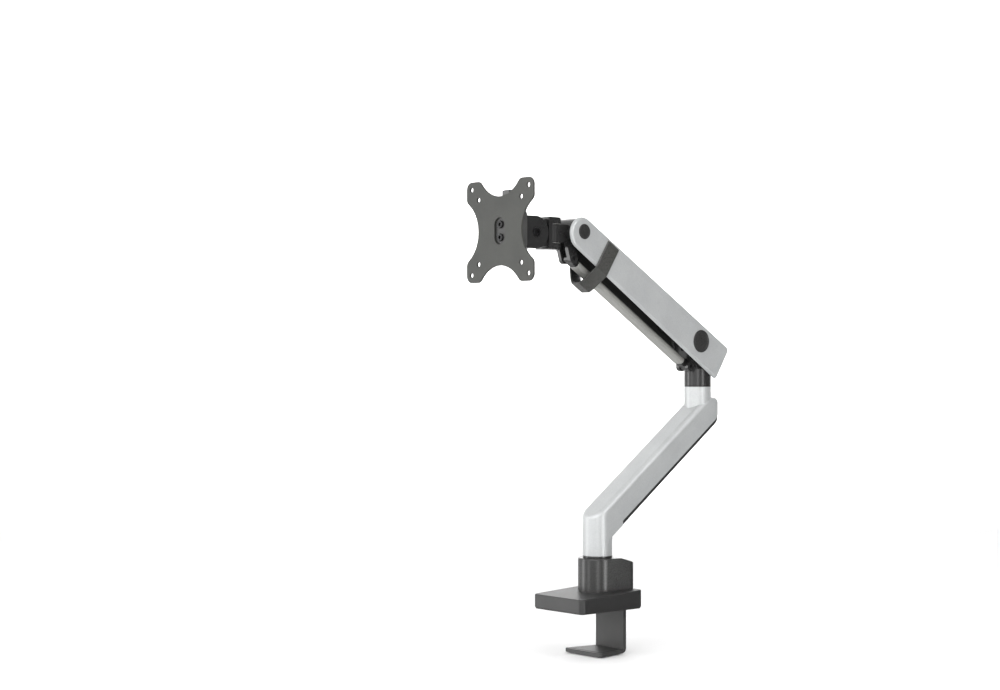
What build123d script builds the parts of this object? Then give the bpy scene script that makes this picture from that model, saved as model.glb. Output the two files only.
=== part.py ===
from build123d import *
import math
import os

# Monitor arm on a desk clamp: a sprung parallelogram arm that carries a screen plate.
# Millimetres. The origin is on the desk under the post, +Z is up, +Y is the desk's rear edge,
# and the screen hangs at -Y. The rest pose has both arms in the plane X = 0.

# Fits and gaps
running_clearance = 0.05
seat_clearance = 0.03
sliding_gap = 0.1
open_gap = 0.4

# Base plate and its pad
base_width = 86.0
base_front = 66.0
base_rear = 34.5
base_corner_radius = 6.0
base_front_height = 17.5
base_rear_height = 22.5
base_edge_radius = 1.5
pad_thickness = 2.0
pad_inset = 1.0

# Housing, post and thrust washer
post_radius = 12.0
post_rise = 42.5
post_chamfer = 1.5
post_groove_depth = 1.2
post_groove_height = 6.0
post_groove_drop = 12.0
housing_front_radius = 23.5
housing_rear = 34.0
housing_rear_width = 60.0
housing_corner_radius = 6.0
housing_top = 60.0
housing_rear_top = 54.0
housing_flat_end = 15.0
housing_edge_radius = 1.5
thrust_washer_radius = 17.75
thrust_washer_thickness = 2.5

# Screws from below that hold the housing on the base plate
housing_screw_radius = 2.0
housing_screw_head_radius = 4.0
housing_screw_head_height = 3.0
housing_screw_reach = 34.0
housing_screw_circle = 17.7
housing_screw_angles = (8.0, 172.0, 270.0)

# Desk clamp
leg_front = 20.0
leg_width = 48.0
leg_thickness = 4.6
leg_top = 5.5
jaw_gap = 50.0
jaw_thickness = 4.6
jaw_length = 45.0
jaw_front_width = 64.0
jaw_corner_radius = 3.0
jaw_bend_radius = 6.0
jaw_pad_thickness = 2.0
jaw_pad_inset = 4.0
jaw_pad_proud = 0.4
clamp_nut_width = 16.0
clamp_nut_depth = 7.2
clamp_nut_height = 8.0
clamp_screw_radius = 3.0
clamp_screw_end = 3.0
clamp_screw_head_radius = 4.5
clamp_screw_head_height = 4.5
clamp_screw_socket = 5.0
clamp_screw_socket_depth = 2.5
clamp_collar_radius = 3.8
clamp_collar_height = 2.0
clamp_ledge_thickness = 3.0
clamp_head_sink = 2.0

# Lower arm
arm_half_width = 17.5
lower_slope = 36.0
lower_top_height = 123.0
lower_bottom_height = 80.0
lower_crown = 0.6
lower_end_reach = 12.0
lower_top_radius = 6.5
neck_blend_radius = 20.0
neck_sections = 5
bush_wall = 1.5
cover_thickness = 4.0
cover_inset = 0.5
cover_lip_height = 6.0
cover_lip_thickness = 2.0
cable_channel_width = 24.0
cable_channel_depth = 19.0
cable_channel_start = 38.0
cable_channel_stop = 28.2

# Elbow
elbow_y = 174.2
boss_radius = 17.0
boss_rise = 13.5
elbow_ring_thickness = 0.8
elbow_post_radius = 8.0
elbow_seat_depth = 31.5
elbow_recess_radius = 13.0
elbow_washer_radius = 12.0
elbow_washer_thickness = 2.0
elbow_screw_radius = 3.0
elbow_screw_head_radius = 5.5
elbow_screw_head_height = 4.0
elbow_screw_reach = 14.0
elbow_barrel_height = 23.5
elbow_barrel_radius = 17.0
elbow_barrel_chamfer = 0.5
elbow_column_sink = 1.0
elbow_post_grip = 18.0
bracket_gap = 0.6
pivot_forward = 16.5
pivot_rise = 57.1
pivot_boss_radius = 12.0
axle_radius = 4.0

# Upper arm
arm_length = 237.6
arm_rise = 32.8
channel_half_width = 22.0
channel_wall = 3.3
channel_web = 3.0
channel_top = 17.0
channel_bottom = 22.4
channel_tail = 50.0
channel_top_flare = 3.5
channel_bottom_flare = 2.9
channel_tail_radius = 6.0
channel_heel_radius = 4.2
channel_edge_radius = 4.0
channel_end_wall = 3.0
channel_end_wall_bottom = 2.0
web_start = 11.0
boss_depth = 3.5
elbow_bush_radius = 7.0
head_bush_radius = 6.0
bush_boss_wall = 4.0
elbow_cap_radius = 14.0
head_cap_radius = 9.0
cap_seat = 1.5
cap_proud = 0.7
cap_edge_radius = 0.6

# Parallel link below the channel
link_drop = 31.5
link_forward = 6.0
link_width = 15.0
link_height = 8.0
link_section_radius = 3.0
link_eye_radius = 4.6
link_eye_half_width = 4.5
link_body_start = 12.0
link_wall = 1.5
link_plug_length = 15.0
link_pin_radius = 2.4
fork_cheek_gap = 0.5
fork_cheek_thickness = 5.2
fork_eye_radius = 6.2

# Spring and its pull rod inside the channel
spring_pin_rise = 8.0
spring_pin_radius = 2.0
rod_radius = 2.3
rod_eye_radius = 3.6
rod_eye_half_width = 4.0
rod_slot_half_width = 4.4
rod_slot_room = 2.0
rod_end_along = 62.0
anchor_along = 196.0
anchor_length = 9.0
anchor_bottom = -6.0
anchor_slot_travel = 1.6
spring_seat_along = 70.0
spring_seat_length = 6.0
spring_seat_radius = 5.5
spring_radius = 4.6
spring_wire_radius = 0.95
spring_turns = 14

# Cable clip on the channel
clip_along = 37.2
clip_length = 20.2
clip_thickness = 2.0
clip_top = 13.0
clip_shoulder = -25.0
clip_hip = -42.5
clip_bottom = -48.0
clip_hip_half_width = 12.0
clip_bottom_half_width = 7.0
clip_corner_radius = 3.0

# Head: level bracket, swivel fork, tilt bracket
head_drop = 2.8
swivel_forward = 31.6
barrel_radius = 9.5
barrel_height = 21.6
fork_end_radius = 10.0
head_half_height = 19.0
head_half_width = 12.0
swivel_washer_thickness = 0.7
swivel_bolt_radius = 4.0
bolt_head_radius = 6.2
bolt_head_height = 3.0
head_boss_radius = 16.5
head_lug_rise = 20.5
head_lug_forward = 6.0
barrel_gap = 0.8
bridge_thickness = 5.4
tilt_gap = 0.7
tilt_bolt_radius = 4.0
tilt_bolt_head_radius = 5.6
tilt_bolt_head_height = 1.6
tongue_half_width = 7.5
tongue_radius = 14.0
tilt_washer_radius = 12.0
tilt_washer_thickness = 0.8
tilt_wall_reach = 21.0
tilt_wall_thickness = 6.0
turn_bolt_radius = 5.0
turn_bolt_head_radius = 7.5
turn_bolt_head_height = 3.5
turn_washer_radius = 15.0
turn_washer_thickness = 0.9
hub_radius = 18.0
hub_length = 9.5

# Screen plate, its adapter and the release latch
plate_size = 118.0
plate_thickness = 2.5
plate_corner_radius = 9.0
plate_waist_upright = 40.0
plate_waist_across = 38.0
plate_waist_chord = 35.0
plate_waist_blend = 8.0
plate_slot_width = 18.0
plate_slot_height = 31.0
hole_spacing_large = 100.0
hole_spacing_small = 75.0
hole_radius = 2.75
adapter_thickness = 6.8
adapter_half_width = 38.0
adapter_half_height = 24.0
adapter_corner_radius = 8.0
adapter_tab_half_width = 11.0
adapter_tab_top = 35.5
plate_screw_spacing = 15.0
plate_screw_radius = 2.5
plate_screw_head_radius = 4.5
plate_screw_head_height = 2.2
latch_half_width = 5.0
latch_thickness = 3.0
latch_bottom = 24.5
latch_top = 47.5
latch_thumb_bottom = 40.0
latch_thumb_half_width = 6.0
latch_thumb_depth = 11.0
latch_edge_radius = 1.5
latch_rail_width = 3.6
latch_lip_width = 2.2
latch_lip_thickness = 2.2


# Places worked out from the driving dimensions
rise_cos = math.cos(math.radians(arm_rise))
rise_sin = math.sin(math.radians(arm_rise))
lower_tan = math.tan(math.radians(lower_slope))
lower_cos = math.cos(math.radians(lower_slope))
rear_corner_y = elbow_y + lower_crown
lower_rear_height = lower_top_height + lower_tan * rear_corner_y
boss_top = lower_rear_height + boss_rise
elbow_seat = boss_top - elbow_seat_depth
elbow_barrel_top = boss_top + elbow_barrel_height
cable_channel_end = elbow_y - cable_channel_stop
pivot_y = elbow_y - pivot_forward
pivot_height = boss_top + pivot_rise
pivot = (pivot_y, pivot_height)
head_pivot = (pivot_y - arm_length * rise_cos, pivot_height + arm_length * rise_sin)
elbow_link = (pivot[0] - link_forward, pivot[1] - link_drop)
head_link = (head_pivot[0] - link_forward, head_pivot[1] - link_drop)
spring_pin_place = (pivot[0], pivot[1] + spring_pin_rise)
channel_inside = channel_half_width - channel_wall
boss_inside = channel_inside - boss_depth
bracket_half_width = boss_inside - bracket_gap
cap_floor = channel_half_width - cap_seat
arm_plane = Plane(
    origin=(0, *head_pivot), x_dir=(0, rise_cos, -rise_sin), z_dir=(1, 0, 0)
)
base_slope = (base_rear_height - base_front_height) / (base_front + base_rear)
base_axis_height = base_front_height + base_slope * base_front
base_top_plane = Plane(
    origin=(0, 0, base_axis_height), x_dir=(1, 0, 0), z_dir=(0, -base_slope, 1)
)
leg_rear = leg_front + leg_thickness
clamp_screw_y = leg_rear + clamp_nut_depth / 2
socket_bottom = housing_top + thrust_washer_thickness + sliding_gap
post_top = housing_top + thrust_washer_thickness + post_rise
head_z = head_pivot[1] - head_drop
swivel_y = head_pivot[0] - swivel_forward
head_top = head_z + head_half_height
head_bottom = head_z - head_half_height
bridge_rear = swivel_y - barrel_radius - barrel_gap
bridge_front = bridge_rear - bridge_thickness
tilt_y = bridge_front - tilt_gap - head_half_height
tilt_place = (tilt_y, head_z)
tilt_wall_rear = tilt_y - tilt_wall_reach
tilt_wall_front = tilt_wall_rear - tilt_wall_thickness
hub_rear = tilt_wall_front - turn_washer_thickness - sliding_gap
adapter_rear = hub_rear - hub_length
plate_rear = adapter_rear - adapter_thickness


def along_normal(point):
    """Place of a (Y, Z) point along the upper arm and square to it, from the head pivot."""
    y = point[0] - head_pivot[0]
    z = point[1] - head_pivot[1]
    return (y * rise_cos - z * rise_sin, y * rise_sin + z * rise_cos)


def arm_section(along):
    """Plane square to the upper arm, facing the head, with X across and the arm's normal up."""
    start = arm_plane.from_local_coords((along, 0, 0))
    return Plane(origin=start, x_dir=(1, 0, 0), z_dir=(0, -rise_cos, rise_sin))


def lower_line(height, y):
    """Height at Y of a line that follows the slope of the lower arm."""
    return height + lower_tan * y


def disc(plane, radius, length, at=(0, 0), mode=Mode.ADD):
    """Round bar from a plane, added to or cut from the piece at hand."""
    with BuildSketch(plane) as face:
        with Locations(at):
            Circle(radius)
    extrude(face.sketch, amount=length, mode=mode)


def cross_disc(place, radius, x_from, x_to, mode=Mode.ADD):
    """Round bar along X at a (Y, Z) place."""
    disc(Plane.YZ.offset(x_from), radius, x_to - x_from, at=place, mode=mode)


def cross_hole(place, radius):
    """Round hole right across the piece at hand, along X."""
    cross_disc(place, radius, -base_width, base_width, mode=Mode.SUBTRACT)


def ring(plane, outer, inner, length):
    """Flat ring from a plane."""
    disc(plane, outer, length)
    disc(plane, inner, length, mode=Mode.SUBTRACT)


def cross_hull(circles, x_from, x_to, mode=Mode.ADD):
    """Plate along X whose outline wraps circles given as (place, radius)."""
    with BuildSketch(Plane.YZ.offset(x_from)) as outline:
        for place, radius in circles:
            with Locations(place):
                Circle(radius)
        make_hull()
    extrude(outline.sketch, amount=x_to - x_from, mode=mode)


def block(x, y, z, mode=Mode.ADD):
    """Box between pairs of limits."""
    with BuildSketch(Plane.XY.offset(z[0])) as foot:
        with Locations(((x[0] + x[1]) / 2, (y[0] + y[1]) / 2)):
            Rectangle(x[1] - x[0], y[1] - y[0])
    extrude(foot.sketch, amount=z[1] - z[0], mode=mode)


def side_profile(points, half_width, mode=Mode.ADD):
    """Straight-sided outline in the (Y, Z) plane, as wide on both sides of X = 0."""
    with BuildSketch(Plane.YZ) as outline:
        with BuildLine():
            Polyline(*points, close=True)
        make_face()
    extrude(outline.sketch, amount=half_width, both=True, mode=mode)


# Base plate: a wedge that rises to the rear, with a slot for the clamp leg and its nut
base_depth = base_front + base_rear
base_middle = (base_rear - base_front) / 2
slot_rear = leg_rear + clamp_nut_depth + open_gap
screw_places = [
    (
        housing_screw_circle * math.cos(math.radians(angle)),
        housing_screw_circle * math.sin(math.radians(angle)),
    )
    for angle in housing_screw_angles
]


def clamp_slot(z):
    """Room for the clamp leg, and for the nut behind it."""
    leg_room = leg_width / 2 + open_gap
    nut_room = clamp_nut_width / 2 + open_gap
    block((-leg_room, leg_room), (leg_front - open_gap, leg_rear + open_gap), z, Mode.SUBTRACT)
    block((-nut_room, nut_room), (leg_front, slot_rear), z, Mode.SUBTRACT)


with BuildPart() as base_plate:
    with BuildSketch(Plane.XY.offset(pad_thickness)):
        with Locations((0, base_middle)):
            RectangleRounded(base_width, base_depth, base_corner_radius)
    extrude(amount=base_rear_height)
    split(bisect_by=base_top_plane, keep=Keep.BOTTOM)
    fillet(base_plate.faces().sort_by(Axis.Z)[-1].edges(), base_edge_radius)
    clamp_slot((0, base_rear_height))
    with Locations(*[(x, y, pad_thickness) for x, y in screw_places]):
        with Locations(Rotation(180, 0, 0)):
            CounterBoreHole(
                housing_screw_radius + running_clearance,
                housing_screw_head_radius + open_gap,
                housing_screw_head_height + sliding_gap,
                base_rear_height,
            )

with BuildPart() as base_pad:
    with BuildSketch(Plane.XY):
        with Locations((0, base_middle)):
            RectangleRounded(
                base_width - 2 * pad_inset,
                base_depth - 2 * pad_inset,
                base_corner_radius - pad_inset,
            )
    extrude(amount=pad_thickness)
    clamp_slot((0, pad_thickness))

# Housing: round in front of the post, wider behind it, with a top that falls to the rear
with BuildPart() as post_housing:
    with BuildSketch():
        Circle(housing_front_radius)
        corner_x = housing_rear_width / 2 - housing_corner_radius
        with Locations(
            (corner_x, housing_rear - housing_corner_radius),
            (-corner_x, housing_rear - housing_corner_radius),
        ):
            Circle(housing_corner_radius)
        make_hull()
    extrude(amount=housing_top)
    side_profile(
        [
            (-housing_front_radius, 0),
            (-housing_front_radius, housing_top),
            (housing_flat_end, housing_top),
            (housing_rear, housing_rear_top),
            (housing_rear, 0),
        ],
        housing_rear_width,
        Mode.INTERSECT,
    )
    split(bisect_by=base_top_plane, keep=Keep.TOP)
    fillet(
        post_housing.edges().filter_by_position(Axis.Z, housing_rear_top - open_gap, housing_top + open_gap)
        .filter_by(lambda edge: edge.length > housing_corner_radius / 2)
        .filter_by(lambda edge: abs(edge.center().Y - housing_flat_end) > open_gap),
        housing_edge_radius,
    )
    disc(Plane.XY, post_radius + seat_clearance, 2 * housing_top, mode=Mode.SUBTRACT)
    ledge_top = housing_rear_top - clamp_screw_head_height - clamp_head_sink
    ledge_bottom = ledge_top - clamp_ledge_thickness
    clamp_slot((0, ledge_bottom))
    screw_axis = (0, clamp_screw_y)
    disc(
        Plane.XY.offset(ledge_top),
        clamp_screw_head_radius + open_gap,
        housing_top,
        at=screw_axis,
        mode=Mode.SUBTRACT,
    )
    disc(
        Plane.XY, clamp_screw_radius + running_clearance, housing_top, screw_axis, Mode.SUBTRACT
    )
    for place in screw_places:
        disc(
            Plane.XY,
            housing_screw_radius + seat_clearance,
            housing_screw_reach + open_gap,
            place,
            Mode.SUBTRACT,
        )

with BuildPart() as base_post:
    post_foot = base_axis_height + base_slope * post_radius
    disc(Plane.XY.offset(post_foot), post_radius, post_top - post_foot)
    chamfer(base_post.faces().sort_by(Axis.Z)[-1].edges(), post_chamfer)
    groove = Plane.XY.offset(post_top - post_groove_drop - post_groove_height)
    with BuildSketch(groove) as groove_ring:
        Circle(2 * post_radius)
        Circle(post_radius - post_groove_depth, mode=Mode.SUBTRACT)
    extrude(groove_ring.sketch, amount=post_groove_height, mode=Mode.SUBTRACT)

with BuildPart() as thrust_washer:
    ring(
        Plane.XY.offset(housing_top),
        thrust_washer_radius,
        post_radius + running_clearance,
        thrust_washer_thickness,
    )

with BuildPart() as housing_screws:
    for place in screw_places:
        disc(
            Plane.XY.offset(pad_thickness),
            housing_screw_head_radius,
            housing_screw_head_height,
            place,
        )
        disc(
            Plane.XY.offset(pad_thickness),
            housing_screw_radius,
            housing_screw_reach - pad_thickness,
            place,
        )

# Desk clamp: an L-shaped bracket drawn up by a captive screw in the housing
jaw_top = -jaw_gap


def jaw_corners(edge):
    """Corners of the jaw, wider in front than at the leg, drawn in by an edge."""
    at_leg = leg_width / 2 - edge
    in_front = jaw_front_width / 2 - edge
    rear = leg_front - edge
    front = leg_front - jaw_length + edge
    return (-at_leg, rear), (at_leg, rear), (in_front, front), (-in_front, front)


def pocket(plane, clearance, mode):
    """Pad let into the jaw, or the pocket that it lies in."""
    with BuildSketch(plane) as plan:
        with BuildLine():
            Polyline(*jaw_corners(jaw_pad_inset - clearance), close=True)
        make_face()
        fillet(plan.vertices(), jaw_corner_radius)
    extrude(plan.sketch, amount=jaw_pad_thickness, mode=mode)


with BuildPart() as clamp_bracket:
    with BuildSketch(Plane.YZ) as angle_outline:
        with BuildLine():
            Polyline(
                (leg_front, leg_top),
                (leg_rear, leg_top),
                (leg_rear, jaw_top - jaw_thickness),
                (leg_front - jaw_bend_radius, jaw_top - jaw_thickness),
                (leg_front - jaw_bend_radius, jaw_top),
                (leg_front, jaw_top),
                close=True,
            )
        make_face()
        heel = angle_outline.vertices().sort_by_distance((leg_rear, jaw_top - jaw_thickness))[0]
        fillet(heel, jaw_bend_radius)
    extrude(amount=leg_width / 2, both=True)
    with BuildSketch(Plane.XY.offset(jaw_top - jaw_thickness)) as jaw_outline:
        with BuildLine():
            Polyline(*jaw_corners(0), close=True)
        make_face()
        fillet(jaw_outline.vertices().group_by(Axis.Y)[0], jaw_corner_radius)
    extrude(amount=jaw_thickness)
    pocket_floor = jaw_top + jaw_pad_proud - jaw_pad_thickness
    pocket(Plane.XY.offset(pocket_floor), seat_clearance, Mode.SUBTRACT)

with BuildPart() as clamp_pad:
    pocket(Plane.XY.offset(pocket_floor), 0, Mode.ADD)

with BuildPart() as clamp_nut:
    block(
        (-clamp_nut_width / 2, clamp_nut_width / 2),
        (leg_rear, leg_rear + clamp_nut_depth),
        (leg_top - clamp_nut_height, leg_top),
    )
    disc(
        Plane.XY.offset(-clamp_nut_height),
        clamp_screw_radius + running_clearance,
        2 * clamp_nut_height,
        screw_axis,
        Mode.SUBTRACT,
    )

with BuildPart() as clamp_screw:
    disc(
        Plane.XY.offset(leg_top - clamp_nut_height - clamp_screw_end),
        clamp_screw_radius,
        ledge_top + sliding_gap + clamp_nut_height + clamp_screw_end - leg_top,
        screw_axis,
    )
    disc(
        Plane.XY.offset(ledge_bottom - sliding_gap),
        clamp_collar_radius,
        -clamp_collar_height,
        screw_axis,
    )
    disc(
        Plane.XY.offset(ledge_top + sliding_gap),
        clamp_screw_head_radius,
        clamp_screw_head_height,
        screw_axis,
    )
    with BuildSketch(
        Plane.XY.offset(ledge_top + sliding_gap + clamp_screw_head_height)
    ):
        with Locations(screw_axis):
            RegularPolygon(clamp_screw_socket / 2, 6, major_radius=False)
    extrude(amount=-clamp_screw_socket_depth, mode=Mode.SUBTRACT)


# Lower arm: a sloped casting that turns on the post, hollow below for cables
def neck_rear(angle):
    """Rear edge (Y, Z) of the neck where it curves from the socket into the underside."""
    centre_y = arm_half_width + neck_blend_radius
    centre_z = lower_line(lower_bottom_height, centre_y) - neck_blend_radius / lower_cos
    return (
        centre_y - neck_blend_radius * math.cos(angle),
        centre_z + neck_blend_radius * math.sin(angle),
    )


neck_turn = math.radians(90 - lower_slope)
neck_edge = [neck_rear(neck_turn * i / (neck_sections - 1)) for i in range(neck_sections)]
far_y = elbow_y + 2 * arm_half_width
cover_start = neck_edge[-1][0]
cover_line = lower_bottom_height + cover_thickness / lower_cos
channel_roof = lower_bottom_height + (cover_thickness + cable_channel_depth) / lower_cos
socket_radius = post_radius + running_clearance + bush_wall
bush_radius = socket_radius - seat_clearance
bush_height = post_top - socket_bottom - post_chamfer
elbow_bush_outer = elbow_post_radius + running_clearance + bush_wall


def stadium(radius):
    """Plan of the lower arm: round about the post and at the end behind the elbow."""
    with BuildSketch() as plan:
        Circle(radius)
        with Locations((0, elbow_y + lower_end_reach)):
            Circle(radius)
        make_hull()
    extrude(plan.sketch, amount=boss_top, mode=Mode.INTERSECT)


def sloped_block(low, high, y_from, y_to, half_width, mode=Mode.ADD):
    """Block between two heights of the slope and two places along Y."""
    side_profile(
        [
            (y_from, lower_line(low, y_from)),
            (y_to, lower_line(low, y_to)),
            (y_to, lower_line(high, y_to)),
            (y_from, lower_line(high, y_from)),
        ],
        half_width,
        mode,
    )


with BuildPart() as lower_arm:
    side_profile(
        [
            (-arm_half_width, socket_bottom),
            (0, socket_bottom),
            (0, lower_bottom_height),
            (far_y, lower_line(lower_bottom_height, far_y)),
            (far_y, lower_rear_height),
            (rear_corner_y, lower_rear_height),
            (-arm_half_width, lower_line(lower_top_height, -arm_half_width)),
        ],
        arm_half_width,
    )
    stadium(arm_half_width)
    fillet(
        lower_arm.edges().filter_by(
            lambda edge: edge.center().Z > lower_line(lower_top_height, edge.center().Y) - open_gap
            or edge.center().Z > lower_rear_height - open_gap
        ).filter_by(lambda edge: abs(edge.center().X) > open_gap or edge.geom_type != GeomType.LINE),
        lower_top_radius,
    )
    for y, z in neck_edge:
        with BuildSketch(Plane.XY.offset(z)):
            reach = max(y - arm_half_width, open_gap)
            with Locations((0, reach / 2)):
                SlotCenterToCenter(reach, 2 * arm_half_width, rotation=90)
    loft()
    disc(
        Plane.XY.offset(socket_bottom),
        arm_half_width,
        neck_edge[0][1] - socket_bottom,
    )
    disc(
        Plane.XY.offset(elbow_seat),
        boss_radius,
        boss_top - elbow_seat,
        at=(0, elbow_y),
    )
    sloped_block(0, cover_line, cover_start, far_y, 2 * arm_half_width, Mode.SUBTRACT)
    sloped_block(
        0, channel_roof, cable_channel_start, cable_channel_end, cable_channel_width / 2, Mode.SUBTRACT
    )
    disc(Plane.XY, socket_radius, post_top + open_gap, mode=Mode.SUBTRACT)
    disc(Plane.XY.offset(elbow_seat), elbow_bush_outer, boss_top, (0, elbow_y), Mode.SUBTRACT)
    disc(Plane.XY, elbow_recess_radius, elbow_seat, (0, elbow_y), Mode.SUBTRACT)

with BuildPart() as lower_bush:
    ring(
        Plane.XY.offset(socket_bottom), bush_radius, post_radius + running_clearance, bush_height
    )

with BuildPart() as elbow_bush:
    with Locations((0, elbow_y, elbow_seat)):
        Cylinder(
            elbow_bush_outer - seat_clearance,
            boss_top - elbow_seat,
            align=(Align.CENTER, Align.CENTER, Align.MIN),
        )
        Cylinder(
            elbow_post_radius + running_clearance,
            boss_top - elbow_seat,
            align=(Align.CENTER, Align.CENTER, Align.MIN),
            mode=Mode.SUBTRACT,
        )

# Cable cover: a strip that closes the underside, with two lips that grip the channel
with BuildPart() as cable_cover:
    sloped_block(
        lower_bottom_height,
        cover_line - sliding_gap,
        cover_start + open_gap,
        far_y,
        arm_half_width - cover_inset,
    )
    stadium(arm_half_width - cover_inset)
    lip_outside = cable_channel_width / 2 - sliding_gap
    sloped_block(
        cover_line - 2 * sliding_gap,
        cover_line + cover_lip_height,
        cable_channel_start + open_gap,
        cable_channel_end - open_gap,
        lip_outside,
    )
    sloped_block(
        cover_line - sliding_gap,
        cover_line + 2 * cover_lip_height,
        0,
        far_y,
        lip_outside - cover_lip_thickness,
        Mode.SUBTRACT,
    )

# Elbow: an upright post in the lower arm, and the bracket that carries the sprung arm
barrel_bottom = boss_top + elbow_ring_thickness + sliding_gap
elbow_axis = (0, elbow_y)
cheek_inside = link_eye_half_width + fork_cheek_gap
cheek_outside = cheek_inside + fork_cheek_thickness

with BuildPart() as elbow_ring:
    disc(Plane.XY.offset(boss_top), boss_radius, elbow_ring_thickness, elbow_axis)
    disc(
        Plane.XY.offset(boss_top),
        elbow_post_radius + running_clearance,
        elbow_ring_thickness,
        elbow_axis,
        Mode.SUBTRACT,
    )

with BuildPart() as elbow_bracket:
    disc(
        Plane.XY.offset(barrel_bottom),
        elbow_barrel_radius,
        elbow_barrel_top - barrel_bottom,
        elbow_axis,
    )
    chamfer(elbow_bracket.faces().sort_by(Axis.Z)[0].edges(), elbow_barrel_chamfer)
    foot_radius = fork_cheek_thickness / 2
    foot_z = elbow_barrel_top + foot_radius - elbow_column_sink
    column = [
        (pivot, pivot_boss_radius),
        ((elbow_y - elbow_barrel_radius + foot_radius, foot_z), foot_radius),
        ((elbow_y + elbow_post_radius, foot_z), foot_radius),
    ]
    cross_hull(column, -bracket_half_width, bracket_half_width)
    lug_top = (pivot_y, elbow_link[1] + fork_eye_radius)
    lug = [(elbow_link, fork_eye_radius), (lug_top, fork_eye_radius)]
    cross_hull(lug, cheek_inside, cheek_outside)
    cross_hull(lug, -cheek_outside, -cheek_inside)
    block(
        (-cheek_inside, cheek_inside),
        (pivot_y - 2 * pivot_boss_radius, elbow_link[0] + link_eye_radius + fork_cheek_gap),
        (elbow_link[1] - 2 * link_eye_radius, elbow_link[1] + 2 * link_eye_radius),
        Mode.SUBTRACT,
    )
    block(
        (-rod_slot_half_width, rod_slot_half_width),
        (pivot_y - 2 * pivot_boss_radius, pivot_y + rod_eye_radius + rod_slot_room),
        (pivot_height - pivot_boss_radius, pivot_height + 2 * pivot_boss_radius),
        Mode.SUBTRACT,
    )
    disc(
        Plane.XY.offset(barrel_bottom),
        elbow_post_radius + seat_clearance,
        elbow_post_grip,
        elbow_axis,
        Mode.SUBTRACT,
    )
    cross_hole(pivot, axle_radius + seat_clearance)
    cross_hole(spring_pin_place, spring_pin_radius + seat_clearance)
    cross_hole(elbow_link, link_pin_radius + seat_clearance)

with BuildPart() as elbow_post:
    disc(
        Plane.XY.offset(elbow_seat),
        elbow_post_radius,
        barrel_bottom + elbow_post_grip - elbow_seat,
        elbow_axis,
    )
    disc(
        Plane.XY.offset(elbow_seat),
        elbow_screw_radius + seat_clearance,
        elbow_screw_reach,
        elbow_axis,
        Mode.SUBTRACT,
    )

washer_bottom = elbow_seat - sliding_gap - elbow_washer_thickness
with BuildPart() as elbow_washer:
    disc(Plane.XY.offset(washer_bottom), elbow_washer_radius, elbow_washer_thickness, elbow_axis)
    disc(
        Plane.XY.offset(washer_bottom),
        elbow_screw_radius + seat_clearance,
        elbow_washer_thickness,
        elbow_axis,
        Mode.SUBTRACT,
    )

with BuildPart() as elbow_screw:
    disc(
        Plane.XY.offset(washer_bottom - elbow_screw_head_height),
        elbow_screw_head_radius,
        elbow_screw_head_height,
        elbow_axis,
    )
    disc(
        Plane.XY.offset(washer_bottom),
        elbow_screw_radius,
        elbow_screw_reach,
        elbow_axis,
    )

with BuildPart() as elbow_axle:
    axle_end = cap_floor - 3 * sliding_gap
    cross_disc(pivot, axle_radius, -axle_end, axle_end)

with BuildPart() as spring_pin:
    cross_disc(spring_pin_place, spring_pin_radius, -cheek_outside, cheek_outside)

with BuildPart() as elbow_link_pin:
    cross_disc(elbow_link, link_pin_radius, -cheek_outside, cheek_outside)

# Upper arm: a channel open below, round at the head, with capped pivots
nose_radius = (channel_top + channel_bottom) / 2
nose_centre = (0, channel_top - nose_radius)
tail_end = arm_length + channel_tail
tail_top = channel_top + channel_top_flare
tail_bottom = -channel_bottom - channel_bottom_flare

with BuildPart() as upper_channel:
    with BuildSketch(arm_plane):
        with Locations(nose_centre):
            Circle(nose_radius)
        with Locations((tail_end - channel_tail_radius, tail_top - channel_tail_radius)):
            Circle(channel_tail_radius)
        with Locations((tail_end - channel_heel_radius, tail_bottom + channel_heel_radius)):
            Circle(channel_heel_radius)
        make_hull()
    extrude(amount=channel_half_width, both=True)
    fillet(upper_channel.faces().filter_by(Axis.X).edges(), channel_edge_radius)
    with BuildSketch(arm_plane):
        with BuildLine():
            Polyline(
                (-2 * nose_radius, -2 * nose_radius),
                (-2 * nose_radius, 2 * nose_radius),
                (web_start, 2 * nose_radius),
                (web_start, channel_top - channel_web),
                (tail_end - channel_end_wall, channel_top - channel_web),
                (tail_end - channel_end_wall, channel_end_wall_bottom),
                (tail_end + nose_radius, channel_end_wall_bottom),
                (tail_end + nose_radius, -2 * nose_radius),
                close=True,
            )
        make_face()
    extrude(amount=channel_inside, both=True, mode=Mode.SUBTRACT)
    for place, bush in ((pivot, elbow_bush_radius), (head_pivot, head_bush_radius)):
        for x_from, x_to in ((boss_inside, cap_floor), (-cap_floor, -boss_inside)):
            cross_disc(place, bush + bush_boss_wall, x_from, x_to)
        cross_hole(place, bush)
    for place, cap in ((pivot, elbow_cap_radius), (head_pivot, head_cap_radius)):
        for x_from, x_to in (
            (cap_floor, 2 * channel_half_width),
            (-2 * channel_half_width, -cap_floor),
        ):
            cross_disc(place, cap + seat_clearance, x_from, x_to, Mode.SUBTRACT)


def bush_pair(place, radius):
    """Plain bushes in both walls of the channel."""
    with BuildPart() as bushes:
        for x_from, x_to in ((boss_inside, cap_floor), (-cap_floor, -boss_inside)):
            cross_disc(place, radius - seat_clearance, x_from, x_to)
        cross_hole(place, axle_radius + running_clearance)
    return bushes


def cap(place, radius, side):
    """Round cap pressed into the wall of the channel over the end of an axle."""
    with BuildPart() as cover:
        x_out = channel_half_width + cap_proud
        if side > 0:
            cross_disc(place, radius, cap_floor, x_out)
        else:
            cross_disc(place, radius, -x_out, -cap_floor)
        rim = cover.faces().sort_by(Axis.X)[-1 if side > 0 else 0].edges()
        fillet(rim, cap_edge_radius)
    return cover


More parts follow.
